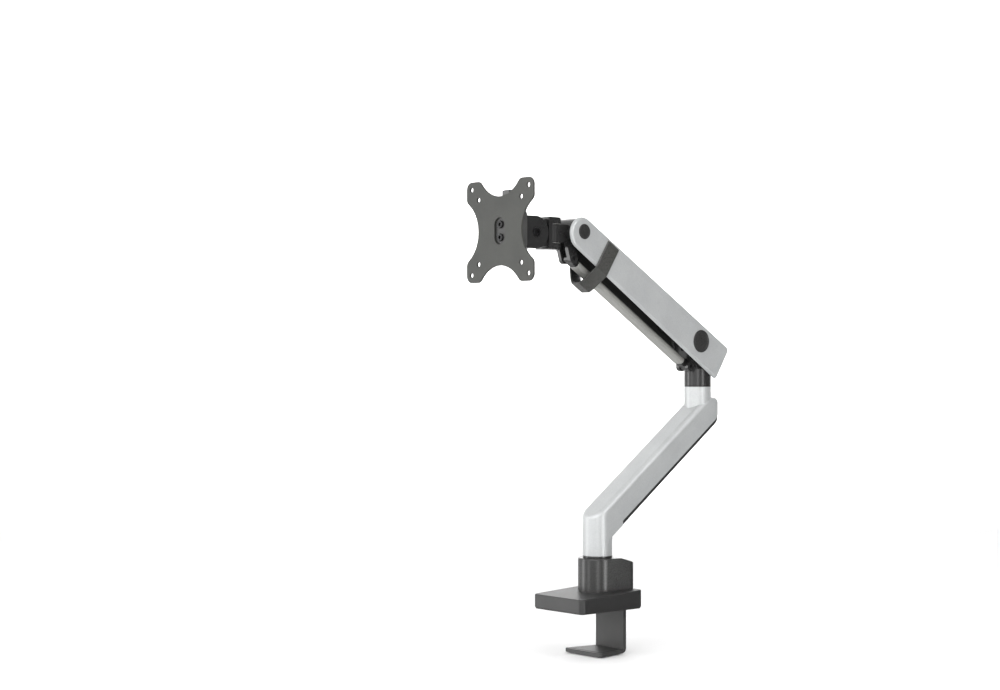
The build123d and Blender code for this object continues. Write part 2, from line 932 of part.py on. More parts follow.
elbow_bushes = bush_pair(pivot, elbow_bush_radius)
head_bushes = bush_pair(head_pivot, head_bush_radius)
elbow_cap_right = cap(pivot, elbow_cap_radius, 1)
elbow_cap_left = cap(pivot, elbow_cap_radius, -1)
head_cap_right = cap(head_pivot, head_cap_radius, 1)
head_cap_left = cap(head_pivot, head_cap_radius, -1)

# Cable clip: a strap on both walls that drops to a loop round the link and the cables
with BuildPart() as cable_clip:
    strap = channel_half_width + clip_thickness
    half_strap = [
        (strap, clip_top),
        (strap, clip_shoulder),
        (clip_hip_half_width, clip_hip),
        (clip_bottom_half_width, clip_bottom),
    ]
    mirrored = [(-x, y) for x, y in reversed(half_strap)]
    with BuildSketch(arm_section(clip_along + clip_length)) as strap_outline:
        with BuildLine():
            Polyline(*half_strap, *mirrored, close=True)
        make_face()
        fillet(
            strap_outline.vertices().filter_by(
                lambda corner: abs(abs(corner.X) - strap) > sliding_gap
            ),
            clip_corner_radius,
        )
        offset(amount=-clip_thickness, mode=Mode.SUBTRACT)
        with Locations((0, clip_top)):
            Rectangle(2 * channel_half_width, 2 * clip_thickness + open_gap, mode=Mode.SUBTRACT)
    extrude(amount=clip_length)

# Spring: its pull rod hangs on the elbow, and the coil pushes from the anchor to the rod's end
pin_along, pin_normal = along_normal(spring_pin_place)
with BuildPart() as spring_anchor:
    with BuildSketch(arm_section(anchor_along + anchor_length)):
        anchor_height = channel_top - channel_web - seat_clearance - anchor_bottom
        with Locations((0, anchor_bottom + anchor_height / 2)):
            Rectangle(2 * (channel_inside - seat_clearance), anchor_height)
        with Locations((0, pin_normal)):
            SlotCenterToCenter(
                2 * anchor_slot_travel, 2 * (rod_radius + open_gap), rotation=90, mode=Mode.SUBTRACT
            )
    extrude(amount=anchor_length)

with BuildPart() as spring_rod:
    with BuildSketch(arm_section(pin_along)):
        with Locations((0, pin_normal)):
            Circle(rod_radius)
    extrude(amount=pin_along - rod_end_along)
    cross_disc(spring_pin_place, rod_eye_radius, -rod_eye_half_width, rod_eye_half_width)
    cross_hole(spring_pin_place, spring_pin_radius + running_clearance)

with BuildPart() as spring_seat:
    with BuildSketch(arm_section(spring_seat_along + spring_seat_length)):
        with Locations((0, pin_normal)):
            Circle(spring_seat_radius)
            Circle(rod_radius + seat_clearance, mode=Mode.SUBTRACT)
    extrude(amount=spring_seat_length)

coil_start = spring_seat_along + spring_seat_length + spring_wire_radius
coil_end = anchor_along - spring_wire_radius
with BuildPart() as lift_spring:
    coil_axis = arm_plane.from_local_coords((coil_end, pin_normal, 0))
    with BuildLine() as coil:
        Helix(
            (coil_end - coil_start) / spring_turns,
            coil_end - coil_start,
            spring_radius,
            center=coil_axis,
            direction=(0, -rise_cos, rise_sin),
        )
    with BuildSketch(Plane(origin=coil.line @ 0, z_dir=coil.line % 0)):
        Circle(spring_wire_radius)
    sweep(is_frenet=True)

# Parallel link: keeps the head level
link_along, link_normal = along_normal(head_link)
with BuildPart() as lower_link:
    with BuildSketch(arm_section(link_along + arm_length - link_body_start)):
        with Locations((0, link_normal)):
            RectangleRounded(link_width, link_height, link_section_radius)
            RectangleRounded(
                link_width - 2 * link_wall,
                link_height - 2 * link_wall,
                link_section_radius - link_wall,
                mode=Mode.SUBTRACT,
            )
    extrude(amount=arm_length - 2 * link_body_start)


def link_end(place, inward, pin_clearance):
    """Eye at one end of the link, with a plug that fits in the link's tube."""
    along = along_normal(place)[0]
    shoulder = along + inward * link_body_start
    with BuildPart() as fitting:
        with BuildSketch(arm_plane.offset(-link_eye_half_width)) as eye:
            with Locations((along, link_normal)):
                Circle(link_eye_radius)
            with Locations(((along + shoulder) / 2, link_normal)):
                Rectangle(link_body_start, link_height)
        extrude(eye.sketch, amount=2 * link_eye_half_width)
        with BuildSketch(arm_section(shoulder)) as plug:
            with Locations((0, link_normal)):
                RectangleRounded(
                    link_width - 2 * (link_wall + seat_clearance),
                    link_height - 2 * (link_wall + seat_clearance),
                    link_section_radius - link_wall,
                )
        extrude(plug.sketch, amount=-inward * link_plug_length)
        cross_hole(place, link_pin_radius + pin_clearance)
    return fitting


head_link_end = link_end(head_link, 1, open_gap)
elbow_link_end = link_end(elbow_link, -1, running_clearance)

# Head bracket: level piece with the swivel barrel in front and the link's fork below
barrel_half = barrel_height / 2
fork_gap_half = barrel_half + swivel_washer_thickness + sliding_gap
swivel_axis = (0, swivel_y)

with BuildPart() as head_bracket:
    disc(Plane.XY.offset(head_z - barrel_half), barrel_radius, barrel_height, swivel_axis)
    neck_radius = barrel_radius / 2
    neck = [
        (head_pivot, head_z + barrel_half - head_pivot[1]),
        ((swivel_y + neck_radius, head_z + barrel_half - neck_radius), neck_radius),
        ((swivel_y + neck_radius, head_z - barrel_half + neck_radius), neck_radius),
    ]
    cross_hull(neck, sliding_gap - barrel_radius, barrel_radius - sliding_gap)
    cross_disc(head_pivot, head_boss_radius, -bracket_half_width, bracket_half_width)
    lug_top = (head_link[0] - head_lug_forward, head_link[1] + head_lug_rise)
    lug = [(head_link, fork_eye_radius), (lug_top, fork_eye_radius)]
    cross_hull(lug, cheek_inside, cheek_outside)
    cross_hull(lug, -cheek_outside, -cheek_inside)
    cross_hole(head_pivot, axle_radius + seat_clearance)
    cross_hole(head_link, link_pin_radius + seat_clearance)
    disc(Plane.XY, swivel_bolt_radius + running_clearance, 2 * head_z, swivel_axis, Mode.SUBTRACT)

with BuildPart() as head_axle:
    cross_disc(head_pivot, axle_radius, -axle_end, axle_end)

with BuildPart() as head_link_pin:
    cross_disc(head_link, link_pin_radius, -cheek_outside, cheek_outside)

# Swivel fork: two round-ended arms over and under the barrel, and a tongue for the tilt joint
with BuildPart() as swivel_fork:
    with BuildSketch(Plane.XY.offset(head_bottom)):
        with Locations(swivel_axis):
            Circle(fork_end_radius)
        with Locations((0, (bridge_rear + bridge_front) / 2)):
            Rectangle(2 * head_half_width, bridge_thickness)
        make_hull()
    extrude(amount=2 * head_half_height)
    block(
        (-2 * head_half_width, 2 * head_half_width),
        (bridge_rear, 0),
        (head_z - fork_gap_half, head_z + fork_gap_half),
        Mode.SUBTRACT,
    )
    root_radius = bridge_thickness / 2 - sliding_gap
    cross_hull(
        [
            (tilt_place, tongue_radius),
            ((bridge_front + root_radius, head_z + tongue_radius), root_radius),
            ((bridge_front + root_radius, head_z - tongue_radius), root_radius),
        ],
        -tongue_half_width,
        tongue_half_width,
    )
    cross_hole(tilt_place, tilt_bolt_radius + running_clearance)
    disc(
        Plane.XY, swivel_bolt_radius + seat_clearance, 2 * head_z, swivel_axis, Mode.SUBTRACT
    )
    for z in (head_top, head_bottom + bolt_head_height):
        disc(
            Plane.XY.offset(z),
            bolt_head_radius + seat_clearance,
            -bolt_head_height,
            swivel_axis,
            Mode.SUBTRACT,
        )

with BuildPart() as swivel_bolt:
    disc(Plane.XY.offset(head_bottom), swivel_bolt_radius, 2 * head_half_height, swivel_axis)
    disc(Plane.XY.offset(head_top), bolt_head_radius, -bolt_head_height, swivel_axis)
    disc(Plane.XY.offset(head_bottom), bolt_head_radius, bolt_head_height, swivel_axis)

with BuildPart() as swivel_washers:
    for z in (head_z + barrel_half + sliding_gap, head_z - fork_gap_half):
        disc(Plane.XY.offset(z), barrel_radius, swivel_washer_thickness, swivel_axis)
    disc(Plane.XY, swivel_bolt_radius + seat_clearance, 2 * head_z, swivel_axis, Mode.SUBTRACT)

# Tilt bracket: two cheeks beside the tongue, and the wall that the screen plate turns on
cheek_in = tongue_half_width + tilt_washer_thickness + 2 * sliding_gap

with BuildPart() as tilt_bracket:
    for x_from, x_to in ((cheek_in, head_half_width), (-head_half_width, -cheek_in)):
        with BuildSketch(Plane.YZ.offset(x_from)) as cheek:
            with Locations(tilt_place):
                Circle(head_half_height)
            with Locations((tilt_wall_front + tilt_wall_thickness / 2, head_z)):
                Rectangle(tilt_wall_thickness, 2 * head_half_height)
            make_hull()
        extrude(cheek.sketch, amount=x_to - x_from)
    block(
        (-head_half_width, head_half_width),
        (tilt_wall_front, tilt_wall_rear),
        (head_bottom, head_top),
    )
    cross_hole(tilt_place, tilt_bolt_radius + seat_clearance)
    disc(
        Plane.XZ.offset(-tilt_wall_rear),
        turn_bolt_radius + running_clearance,
        tilt_wall_thickness,
        (0, head_z),
        Mode.SUBTRACT,
    )

with BuildPart() as tilt_bolt:
    bolt_end = head_half_width + tilt_bolt_head_height
    cross_disc(tilt_place, tilt_bolt_radius, -bolt_end, bolt_end)
    cross_disc(tilt_place, tilt_bolt_head_radius, head_half_width, bolt_end)
    cross_disc(tilt_place, tilt_bolt_head_radius, -bolt_end, -head_half_width)

with BuildPart() as tilt_washers:
    inner_face = tongue_half_width + sliding_gap
    outer_face = inner_face + tilt_washer_thickness
    cross_disc(tilt_place, tilt_washer_radius, inner_face, outer_face)
    cross_disc(tilt_place, tilt_washer_radius, -outer_face, -inner_face)
    cross_hole(tilt_place, tilt_bolt_radius + seat_clearance)

# Screen side: hub, adapter, plate and latch, all turning together about Y
screen_axis = (0, head_z)


def facing(y):
    """Plane that faces the viewer of the screen, at a place along Y."""
    return Plane.XZ.offset(-y)


with BuildPart() as turn_bolt:
    disc(
        facing(tilt_wall_rear + turn_bolt_head_height + sliding_gap),
        turn_bolt_head_radius,
        turn_bolt_head_height,
        screen_axis,
    )
    disc(
        facing(tilt_wall_rear + 2 * sliding_gap),
        turn_bolt_radius,
        tilt_wall_rear - adapter_rear + 2 * sliding_gap,
        screen_axis,
    )

with BuildPart() as turn_washer:
    disc(facing(hub_rear + turn_washer_thickness), turn_washer_radius, turn_washer_thickness, screen_axis)
    disc(
        facing(hub_rear + turn_washer_thickness),
        turn_bolt_radius + seat_clearance,
        turn_washer_thickness,
        screen_axis,
        Mode.SUBTRACT,
    )

with BuildPart() as turn_hub:
    disc(facing(hub_rear), hub_radius, hub_rear - adapter_rear, screen_axis)
    disc(
        facing(hub_rear),
        turn_bolt_radius + seat_clearance,
        hub_rear - adapter_rear,
        screen_axis,
        Mode.SUBTRACT,
    )

screw_heights = (head_z + plate_screw_spacing / 2, head_z - plate_screw_spacing / 2)
rail_out = latch_half_width + open_gap + latch_rail_width
rail_in = latch_half_width + open_gap
rail_bottom = head_z + latch_bottom
rail_top = head_z + adapter_tab_top
lip_start = adapter_rear + sliding_gap + latch_thickness + sliding_gap

with BuildPart() as release_adapter:
    with BuildSketch(facing(adapter_rear)):
        with Locations(screen_axis):
            RectangleRounded(2 * adapter_half_width, 2 * adapter_half_height, adapter_corner_radius)
        with Locations((0, head_z + adapter_tab_top / 2)):
            Rectangle(2 * adapter_tab_half_width, adapter_tab_top)
    extrude(amount=adapter_thickness)
    for side in (1, -1):
        outer, inner = side * rail_out, side * rail_in
        rail_x = (min(outer, inner), max(outer, inner))
        block(rail_x, (adapter_rear, lip_start + latch_lip_thickness), (rail_bottom, rail_top))
        inner = side * (rail_in - latch_lip_width)
        rail_x = (min(outer, inner), max(outer, inner))
        block(rail_x, (lip_start, lip_start + latch_lip_thickness), (rail_bottom, rail_top))
    for z in screw_heights:
        disc(
            facing(plate_rear),
            plate_screw_radius + seat_clearance,
            -adapter_thickness,
            (0, z),
            Mode.SUBTRACT,
        )

with BuildPart() as vesa_plate:
    with BuildSketch(facing(plate_rear)) as plate_outline:
        with Locations(screen_axis):
            Rectangle(plate_size, plate_size)
        for waist, directions in (
            (plate_waist_upright, ((0, 1), (0, -1))),
            (plate_waist_across, ((1, 0), (-1, 0))),
        ):
            rise = plate_size / 2 - waist
            waist_radius = (plate_waist_chord**2 + rise**2) / (2 * rise)
            for x, z in directions:
                reach = waist + waist_radius
                with Locations((x * reach, head_z + z * reach)):
                    Circle(waist_radius, mode=Mode.SUBTRACT)
        corners = plate_outline.vertices().filter_by(
            lambda corner: abs(corner.X) + abs(corner.Y - head_z) > plate_size - sliding_gap
        )
        fillet(corners, plate_corner_radius)
        shoulders = plate_outline.vertices().filter_by(
            lambda corner: abs(
                abs(corner.X) + abs(corner.Y - head_z) - plate_size / 2 - plate_waist_chord
            )
            < sliding_gap
        )
        fillet(shoulders, plate_waist_blend)
        with Locations(screen_axis):
            SlotOverall(plate_slot_height, plate_slot_width, rotation=90, mode=Mode.SUBTRACT)
            for spacing in (hole_spacing_large, hole_spacing_small):
                with GridLocations(spacing, spacing, 2, 2):
                    Circle(hole_radius, mode=Mode.SUBTRACT)
    extrude(amount=plate_thickness)

with BuildPart() as plate_screws:
    for z in screw_heights:
        disc(facing(plate_rear), plate_screw_head_radius, plate_screw_head_height, (0, z))
        disc(facing(plate_rear), plate_screw_radius, -adapter_thickness, (0, z))

with BuildPart() as release_latch:
    stem_front = adapter_rear + sliding_gap
    block(
        (-latch_half_width, latch_half_width),
        (stem_front, stem_front + latch_thickness),
        (head_z + latch_bottom, head_z + latch_top),
    )
    block(
        (-latch_thumb_half_width, latch_thumb_half_width),
        (stem_front, stem_front + latch_thumb_depth),
        (head_z + latch_thumb_bottom, head_z + latch_top),
    )
    fillet(release_latch.edges().group_by(Axis.Z)[-1], latch_edge_radius)

pieces = {
    "base_plate": base_plate,
    "base_pad": base_pad,
    "post_housing": post_housing,
    "base_post": base_post,
    "thrust_washer": thrust_washer,
    "housing_screws": housing_screws,
    "clamp_bracket": clamp_bracket,
    "clamp_pad": clamp_pad,
    "clamp_nut": clamp_nut,
    "clamp_screw": clamp_screw,
    "lower_arm": lower_arm,
    "lower_bush": lower_bush,
    "elbow_bush": elbow_bush,
    "cable_cover": cable_cover,
    "elbow_ring": elbow_ring,
    "elbow_bracket": elbow_bracket,
    "elbow_post": elbow_post,
    "elbow_washer": elbow_washer,
    "elbow_screw": elbow_screw,
    "elbow_axle": elbow_axle,
    "spring_pin": spring_pin,
    "elbow_link_pin": elbow_link_pin,
    "upper_channel": upper_channel,
    "elbow_bushes": elbow_bushes,
    "head_bushes": head_bushes,
    "elbow_cap_right": elbow_cap_right,
    "elbow_cap_left": elbow_cap_left,
    "head_cap_right": head_cap_right,
    "head_cap_left": head_cap_left,
    "cable_clip": cable_clip,
    "spring_anchor": spring_anchor,
    "lift_spring": lift_spring,
    "spring_rod": spring_rod,
    "spring_seat": spring_seat,
    "lower_link": lower_link,
    "head_link_end": head_link_end,
    "elbow_link_end": elbow_link_end,
    "head_bracket": head_bracket,
    "head_axle": head_axle,
    "head_link_pin": head_link_pin,
    "swivel_fork": swivel_fork,
    "swivel_bolt": swivel_bolt,
    "swivel_washers": swivel_washers,
    "tilt_bracket": tilt_bracket,
    "tilt_bolt": tilt_bolt,
    "tilt_washers": tilt_washers,
    "turn_bolt": turn_bolt,
    "turn_washer": turn_washer,
    "turn_hub": turn_hub,
    "release_adapter": release_adapter,
    "vesa_plate": vesa_plate,
    "plate_screws": plate_screws,
    "release_latch": release_latch,
}

os.makedirs("parts", exist_ok=True)
for name, piece in pieces.items():
    piece.part.label = name
    export_step(piece.part, f"parts/{name}.step")
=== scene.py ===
import math

import bmesh
import bpy
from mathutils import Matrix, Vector


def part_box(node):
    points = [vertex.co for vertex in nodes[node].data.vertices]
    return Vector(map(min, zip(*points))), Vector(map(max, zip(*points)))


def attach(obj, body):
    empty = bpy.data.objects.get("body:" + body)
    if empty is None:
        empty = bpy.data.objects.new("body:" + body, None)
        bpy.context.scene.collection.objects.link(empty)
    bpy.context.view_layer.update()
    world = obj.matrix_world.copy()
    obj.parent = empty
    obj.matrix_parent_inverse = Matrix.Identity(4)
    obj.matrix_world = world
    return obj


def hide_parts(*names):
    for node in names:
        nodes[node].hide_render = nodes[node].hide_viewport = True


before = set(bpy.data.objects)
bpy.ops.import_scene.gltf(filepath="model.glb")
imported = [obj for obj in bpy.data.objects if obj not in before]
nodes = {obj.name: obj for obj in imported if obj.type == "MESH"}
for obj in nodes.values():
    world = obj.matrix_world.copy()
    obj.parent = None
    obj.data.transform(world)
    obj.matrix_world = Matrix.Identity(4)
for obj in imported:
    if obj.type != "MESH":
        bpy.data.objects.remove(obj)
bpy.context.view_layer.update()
scene = bpy.context.scene
MM = 0.001
quarter = math.pi / 2
sharp_angle = math.radians(32)
flat_angle = math.radians(0.4)
weld_distance = 0.001 * MM


def to_linear(code):
    """sRGB hex colour as the linear colour that shaders take."""
    channels = [int(code[i : i + 2], 16) / 255 for i in (0, 2, 4)]
    curve = [c / 12.92 if c <= 0.04045 else ((c + 0.055) / 1.055) ** 2.4 for c in channels]
    return (*curve, 1.0)


def add(tree, kind, inputs=None, **settings):
    """Adds a node to a tree with its settings, and sets or links its inputs by name or number."""
    node = tree.nodes.new(kind)
    for name, value in settings.items():
        setattr(node, name, value)
    for key, value in (inputs or {}).items():
        if isinstance(value, bpy.types.NodeSocket):
            tree.links.new(value, node.inputs[key])
        else:
            node.inputs[key].default_value = value
    return node


# Materials. Grains are drawn two or three times their real size, which is too fine to show.
cloud_mm = 45
cloud_detail = 3.0
cloud_roughness = 0.55
grain_detail = 2.0
flake_share = 0.35
dark_from = 0.3
pale_from = 0.7
# Painted shade in recesses, from how open a face is within this distance: below the first share a
# face takes the full dark colour, above the second it keeps its own colour
painted_shade_reach_mm = 60
painted_shade_samples = 8
full_shade_below = 0.5
no_shade_above = 0.9


def surface(
    name,
    colours,
    roughness,
    grain_mm,
    grain_depth_mm,
    ior=1.5,
    metallic=0.0,
    grain_stretch=(1, 1, 1),
    flake_mm=None,
    painted_shade_colour=None,
):
    """Finish with a clouded colour, a fine grain in its relief and gloss, and painted shade in its
    recesses.
    """
    material = bpy.data.materials.new(name)
    material.use_nodes = True
    tree = material.node_tree
    tree.nodes.clear()
    place = add(tree, "ShaderNodeTexCoord").outputs["Object"]
    stretched = add(tree, "ShaderNodeMapping", {"Vector": place, "Scale": grain_stretch})
    cloud = add(
        tree,
        "ShaderNodeTexNoise",
        {
            "Vector": place,
            "Scale": 1 / (cloud_mm * MM),
            "Detail": cloud_detail,
            "Roughness": cloud_roughness,
        },
    )
    grain = add(
        tree,
        "ShaderNodeTexNoise",
        {"Vector": stretched.outputs[0], "Scale": 1 / (grain_mm * MM), "Detail": grain_detail},
    )
    shade = cloud.outputs["Fac"]
    if flake_mm:
        flake = add(
            tree,
            "ShaderNodeTexVoronoi",
            {"Vector": place, "Scale": 1 / (flake_mm * MM), "Randomness": 1.0},
        )
        glint = add(tree, "ShaderNodeSeparateColor", {"Color": flake.outputs["Color"]})
        shade = add(
            tree,
            "ShaderNodeMix",
            {"Factor": flake_share, "A": shade, "B": glint.outputs[0]},
            data_type="FLOAT",
        ).outputs[0]
    ramp = add(tree, "ShaderNodeValToRGB", {"Fac": shade})
    stops = ramp.color_ramp.elements
    for stop, position, code in zip(stops, (dark_from, pale_from), colours):
        stop.position = position
        stop.color = to_linear(code)
    colour = ramp.outputs["Color"]
    # Painted shade: ambient occlusion turns the colour towards the given dark grey in recesses
    if painted_shade_colour:
        occlusion_for_shade = add(
            tree,
            "ShaderNodeAmbientOcclusion",
            {"Distance": painted_shade_reach_mm * MM},
            samples=painted_shade_samples,
            only_local=True,
        )
        cover = add(
            tree,
            "ShaderNodeMapRange",
            {"Value": occlusion_for_shade.outputs["AO"], "From Min": full_shade_below, "From Max": no_shade_above},
        )
        # Inputs 6 and 7 are the two colours of this node, and output 2 is their mix
        colour = add(
            tree,
            "ShaderNodeMix",
            {"Factor": cover.outputs[0], 6: to_linear(painted_shade_colour), 7: colour},
            data_type="RGBA",
        ).outputs[2]
    gloss = add(
        tree,
        "ShaderNodeMapRange",
        {"Value": grain.outputs["Fac"], "To Min": roughness[0], "To Max": roughness[1]},
    )
    relief = add(
        tree,
        "ShaderNodeBump",
        {"Height": grain.outputs["Fac"], "Distance": grain_depth_mm * MM, "Strength": 1.0},
    )
    shader = add(
        tree,
        "ShaderNodeBsdfPrincipled",
        {
            "Base Color": colour,
            "Roughness": gloss.outputs[0],
            "Metallic": metallic,
            "IOR": ior,
            "Normal": relief.outputs[0],
        },
    )
    add(tree, "ShaderNodeOutputMaterial", {"Surface": shader.outputs[0]})
    return material


# Polyester powder coat with aluminium flake on cast aluminium: a soft silver with a faint sparkle.
# The flakes are a tenth of a millimetre across, and are drawn five times as large to show.
flaked_coat = {
    "roughness": (0.36, 0.46),
    "grain_mm": 1.2,
    "grain_depth_mm": 0.012,
    "ior": 1.52,
    "flake_mm": 0.5,
}
silver_colours = ("afb1b2", "bfc1c1")
silver_metallic = 0.35
silver_coat = surface(
    "silver_powder_coat", silver_colours, metallic=silver_metallic, **flaked_coat
)
# The same coat on the channel, with painted shade: where the channel's own faces lie near, as deep
# inside it, ambient occlusion turns the colour to dark grey.
channel_coat_with_painted_shade = surface(
    "silver_powder_coat_with_painted_shade_in_channel",
    silver_colours,
    metallic=silver_metallic,
    # Dark grey of the painted shade inside the channel
    painted_shade_colour="424241",
    **flaked_coat,
)
# The same coat on the pressed link, a little darker
link_coat = surface("grey_powder_coat", ("969693", "a3a39f"), metallic=0.4, **flaked_coat)
# Satin black powder coat on the cast base: a fine orange peel that spreads the highlights
black_coat = surface(
    "black_powder_coat",
    ("222222", "2a2a2a"),
    roughness=(0.4, 0.5),
    grain_mm=1.0,
    grain_depth_mm=0.015,
    ior=1.52,
)
# Smooth black enamel, baked on the castings of the joints: glossier, so their rounds catch a line
black_enamel = surface(
    "black_baked_enamel",
    ("212121", "292929"),
    roughness=(0.2, 0.28),
    grain_mm=1.5,
    grain_depth_mm=0.008,
    ior=1.54,
)
# Graphite powder coat on bent steel plate: dark grey, dull, with a sandy grain
graphite_coat = surface(
    "graphite_powder_coat",
    ("323232", "3b3b3a"),
    roughness=(0.46, 0.58),
    grain_mm=0.8,
    grain_depth_mm=0.02,
    ior=1.52,
)
# Textured grey powder coat on stamped steel: a dull olive grey
plate_coat = surface(
    "textured_grey_powder_coat",
    ("323330", "3b3c38"),
    roughness=(0.5, 0.62),
    grain_mm=0.7,
    grain_depth_mm=0.03,
    ior=1.52,
)
# Black ABS moulded in a polished tool: satin, so a tall light shows as a soft band
black_moulding = surface(
    "black_abs_moulding",
    ("282828", "30302f"),
    roughness=(0.24, 0.32),
    grain_mm=0.6,
    grain_depth_mm=0.02,
    ior=1.54,
)
# Dark grey nylon moulding of the cable clip: it bends, so it is a little waxy
grey_nylon = surface(
    "dark_grey_nylon",
    ("3a3a38", "454543"),
    roughness=(0.24, 0.32),
    grain_mm=0.9,
    grain_depth_mm=0.015,
    ior=1.53,
)
# Grey acetal washers and bushes: cut from bar, slightly waxy
acetal = surface(
    "acetal_bearing",
    ("6a6a67", "777774"),
    roughness=(0.34, 0.44),
    grain_mm=0.8,
    grain_depth_mm=0.01,
    ior=1.48,
)
# Turned and zinc-plated steel: fine rings left by the tool across a bright grey metal. The rings
# lie a tenth of a millimetre apart, and are drawn over half a millimetre apart to show.
turned_steel = surface(
    "turned_zinc_plated_steel",
    ("8d8f91", "a3a5a7"),
    roughness=(0.24, 0.38),
    grain_mm=8.0,
    grain_depth_mm=0.01,
    metallic=1.0,
    grain_stretch=(1, 1, 14),
)
# Blackened screws: a thin black oxide on steel that still glints on its edges
black_oxide = surface(
    "black_oxide_steel",
    ("1d1d1e", "29292a"),
    roughness=(0.28, 0.4),
    grain_mm=1.0,
    grain_depth_mm=0.006,
    metallic=0.75,
)
# Pads of moulded rubber: dark grey with a sandy skin that shines at a low angle
pad_rubber = surface(
    "moulded_rubber",
    ("2a2a29", "333332"),
    roughness=(0.44, 0.56),
    grain_mm=0.7,
    grain_depth_mm=0.04,
    ior=1.52,
)

finishes = {
    silver_coat: ["lower_arm"],
    channel_coat_with_painted_shade: ["upper_channel"],
    link_coat: ["lower_link"],
    black_coat: ["base_plate", "spring_anchor", "clamp_nut"],
    black_enamel: [
        "head_link_end",
        "elbow_link_end",
        "elbow_bracket",
        "head_bracket",
        "swivel_fork",
        "tilt_bracket",
        "turn_hub",
    ],
    graphite_coat: ["clamp_bracket", "release_adapter"],
    plate_coat: ["vesa_plate"],
    black_moulding: [
        "post_housing",
        "cable_cover",
        "elbow_cap_right",
        "elbow_cap_left",
        "head_cap_right",
        "head_cap_left",
        "release_latch",
        "thrust_washer",
        "elbow_ring",
    ],
    grey_nylon: ["cable_clip"],
    acetal: [
        "lower_bush",
        "elbow_bush",
        "elbow_bushes",
        "head_bushes",
        "swivel_washers",
        "tilt_washers",
        "turn_washer",
    ],
    turned_steel: [
        "base_post",
        "elbow_post",
        "elbow_washer",
        "elbow_screw",
        "elbow_axle",
        "spring_pin",
        "spring_rod",
        "spring_seat",
        "head_axle",
        "lift_spring",
        "turn_bolt",
        "clamp_screw",
    ],
    black_oxide: [
        "swivel_bolt",
        "tilt_bolt",
        "plate_screws",
        "housing_screws",
        "elbow_link_pin",
        "head_link_pin",
    ],
    pad_rubber: ["base_pad", "clamp_pad"],
}
for finish, names in finishes.items():
    for name in names:
        nodes[name].data.materials.clear()
        nodes[name].data.materials.append(finish)

# Edges: a cast, moulded or stamped piece has no sharp corner, so each gets a small round
edge_segments = 2
edge_rounds_mm = {
    "clamp_bracket": 0.7,
    "base_pad": 0.5,
    "clamp_pad": 0.5,
    "elbow_bracket": 0.8,
    "head_bracket": 0.7,
    "swivel_fork": 0.9,
    "tilt_bracket": 0.9,
    "turn_hub": 0.7,
    "release_adapter": 0.7,
    "vesa_plate": 0.5,
    "cable_clip": 0.5,
    "cable_cover": 0.5,
    "lower_link": 0.6,
    "upper_channel": 0.4,
    "thrust_washer": 0.4,
}
for name, radius in edge_rounds_mm.items():
    node = nodes[name]
    weld = node.modifiers.new("weld", "WELD")
    weld.merge_threshold = weld_distance
    flatten = node.modifiers.new("flatten", "DECIMATE")
    flatten.decimate_type = "DISSOLVE"
    flatten.angle_limit = flat_angle
    ease = node.modifiers.new("ease", "BEVEL")
    ease.width = radius * MM
    ease.segments = edge_segments
    ease.limit_method = "ANGLE"
    ease.angle_limit = sharp_angle
    ease.use_clamp_overlap = True
    shade = node.modifiers.new("shade", "WEIGHTED_NORMAL")
    shade.keep_sharp = True

# Small pieces that repeat, each from a tree of geometry nodes


def grow(name, tree, points, turns, sizes, finish):
    """Piece that a tree grows on points, each with its own turn, made into a plain mesh."""
    mesh = bpy.data.meshes.new(name)
    mesh.from_pydata(points, [], [])
    turn = mesh.attributes.new("turn", "FLOAT_VECTOR", "POINT")
    for item, angles in zip(turn.data, turns):
        item.vector = angles
    piece = bpy.data.objects.new(name, mesh)
    scene.collection.objects.link(piece)
    modifier = piece.modifiers.new("grow", "NODES")
    modifier.node_group = tree
    values = {**sizes, "Material": finish}
    for item in tree.interface.items_tree:
        if item.in_out == "INPUT" and item.name in values:
            modifier[item.identifier] = values[item.name]
    graph = bpy.context.evaluated_depsgraph_get()
    plain = bpy.data.meshes.new_from_object(piece.evaluated_get(graph))
    piece.modifiers.clear()
    piece.data = plain
    return piece


def settle(piece, body, slot, *replaced):
    """Gives a piece its body, and hides the CAD nodes that it stands in for. The slot is not used.
    """
    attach(piece, body)
    if replaced:
        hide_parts(*replaced)


def open_tree(name, sizes):
    """Empty tree with a geometry, named sizes and a material as inputs."""
    tree = bpy.data.node_groups.new(name, "GeometryNodeTree")
    tree.interface.new_socket("Geometry", in_out="INPUT", socket_type="NodeSocketGeometry")
    for size in sizes:
        tree.interface.new_socket(size, in_out="INPUT", socket_type="NodeSocketFloat")
    tree.interface.new_socket("Material", in_out="INPUT", socket_type="NodeSocketMaterial")
    tree.interface.new_socket("Geometry", in_out="OUTPUT", socket_type="NodeSocketGeometry")
    return tree, add(tree, "NodeGroupInput").outputs


